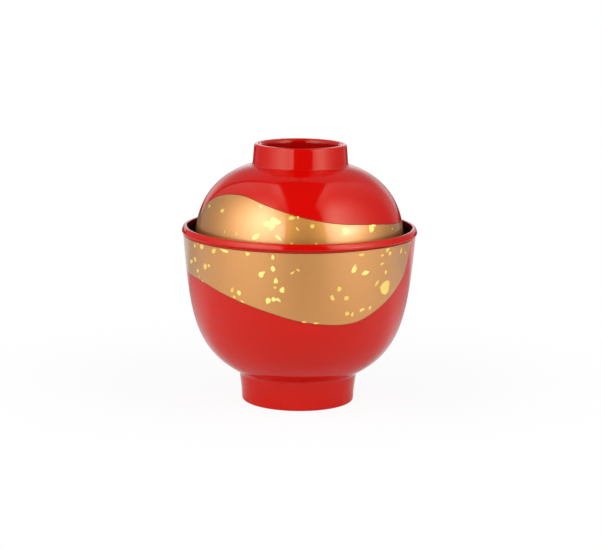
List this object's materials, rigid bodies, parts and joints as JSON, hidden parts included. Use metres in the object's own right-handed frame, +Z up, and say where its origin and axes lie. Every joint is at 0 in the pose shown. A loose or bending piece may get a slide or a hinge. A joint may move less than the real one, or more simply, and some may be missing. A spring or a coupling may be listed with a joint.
{
  "type": "lidded soup bowl",
  "caption": "Footed red lacquer soup bowl with a domed lid that drops inside its rim; bowl and lid each carry a wave-edged gold band.",
  "frame": {"origin": "middle of the foot ring's resting plane", "axes": "+Z up along the axis of the turned bodies, -Y towards the front, where the gold wave is deepest"},
  "size_m": [0.095, 0.095, 0.105],
  "materials": {
    "red_lacquer": "gloss vermilion lacquer",
    "gold_layer": "satin metallic gold under clear lacquer"
  },
  "bodies": {
    "bowl": {"bowl": "red_lacquer", "bowl_gold_band": "gold_layer"},
    "lid": {"lid": "red_lacquer", "lid_gold_band": "gold_layer"}
  },
  "joints": [
    {"name": "lid_lift", "type": "slide", "parent": "bowl", "child": "lid", "axis": [0, 0, 1], "range_m": [0, 0.06]}
  ]
}
